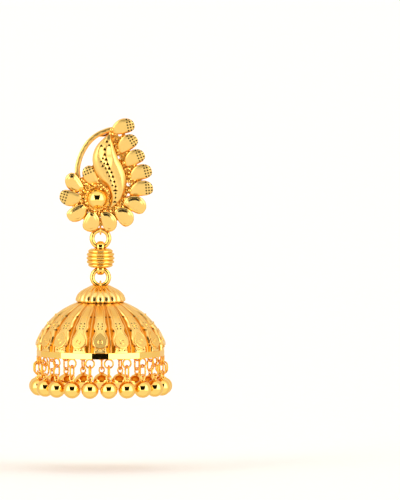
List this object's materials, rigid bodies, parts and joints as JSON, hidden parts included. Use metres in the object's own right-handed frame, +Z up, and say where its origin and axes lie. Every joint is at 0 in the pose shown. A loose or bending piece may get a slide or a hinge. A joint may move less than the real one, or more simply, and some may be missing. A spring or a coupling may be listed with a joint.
{
  "type": "jhumka earring",
  "caption": "Jhumka earring: flower and leaf stud on an ear post, round rings with a ridged bead between them, and a panelled domed bell with a fringe of balls on jump rings.",
  "frame": {"origin": "where the ear post stands on the back of the stud", "axes": "+Z up, +Y back along the ear post into the ear lobe, +X to the right seen from the front; the front faces -Y"},
  "size_m": [0.023, 0.0228, 0.0443],
  "materials": {
    "satin_cast_gold": "gold plated casting, satin with polished edges",
    "polished_gold": "gold plated wire, polished",
    "ridged_gold": "gold plated, turned and polished",
    "stamped_gold": "gold plated stamping, satin panels and polished grooves",
    "mirror_gold": "gold plated ball, mirror polished"
  },
  "bodies": {
    "stud": {"stud_flower": "satin_cast_gold", "ear_post": "polished_gold"},
    "upper_ring": {"upper_ring": "polished_gold"},
    "bead": {"spacer_bead": "ridged_gold"},
    "lower_ring": {"lower_ring": "polished_gold"},
    "bell": {"cap_eye_pin": "polished_gold", "bell_cap": "stamped_gold", "bell_dome": "stamped_gold", "drop_link_01": "polished_gold", "drop_link_02": "polished_gold", "drop_link_03": "polished_gold", "drop_link_04": "polished_gold", "drop_link_05": "polished_gold", "drop_link_06": "polished_gold", "drop_link_07": "polished_gold", "drop_link_08": "polished_gold", "drop_link_09": "polished_gold", "drop_link_10": "polished_gold", "drop_link_11": "polished_gold", "drop_link_12": "polished_gold", "drop_link_13": "polished_gold", "drop_link_14": "polished_gold", "drop_link_15": "polished_gold", "drop_link_16": "polished_gold", "drop_link_17": "polished_gold", "drop_link_18": "polished_gold", "drop_link_19": "polished_gold", "drop_link_20": "polished_gold", "drop_link_21": "polished_gold", "drop_ball_01": "mirror_gold", "drop_ball_02": "mirror_gold", "drop_ball_03": "mirror_gold", "drop_ball_04": "mirror_gold", "drop_ball_05": "mirror_gold", "drop_ball_06": "mirror_gold", "drop_ball_07": "mirror_gold", "drop_ball_08": "mirror_gold", "drop_ball_09": "mirror_gold", "drop_ball_10": "mirror_gold", "drop_ball_11": "mirror_gold", "drop_ball_12": "mirror_gold", "drop_ball_13": "mirror_gold", "drop_ball_14": "mirror_gold", "drop_ball_15": "mirror_gold", "drop_ball_16": "mirror_gold", "drop_ball_17": "mirror_gold", "drop_ball_18": "mirror_gold", "drop_ball_19": "mirror_gold", "drop_ball_20": "mirror_gold", "drop_ball_21": "mirror_gold"}
  },
  "joints": [
    {"name": "upper_ring_swing", "type": "hinge", "parent": "stud", "child": "upper_ring", "pos_m": [0, 0.00015, -0.0096], "axis": [1, 0, 0], "range_deg": [-20, 35]},
    {"name": "bead_swing", "type": "hinge", "parent": "upper_ring", "child": "bead", "pos_m": [0, 0.00015, -0.01095], "axis": [0, 1, 0], "range_deg": [-20, 20]},
    {"name": "lower_ring_swing", "type": "hinge", "parent": "bead", "child": "lower_ring", "pos_m": [0, 0.00015, -0.01589], "axis": [1, 0, 0], "range_deg": [-25, 25]},
    {"name": "bell_swing", "type": "hinge", "parent": "lower_ring", "child": "bell", "pos_m": [0, 0.00015, -0.0172], "axis": [0, 1, 0], "range_deg": [-20, 20]}
  ]
}
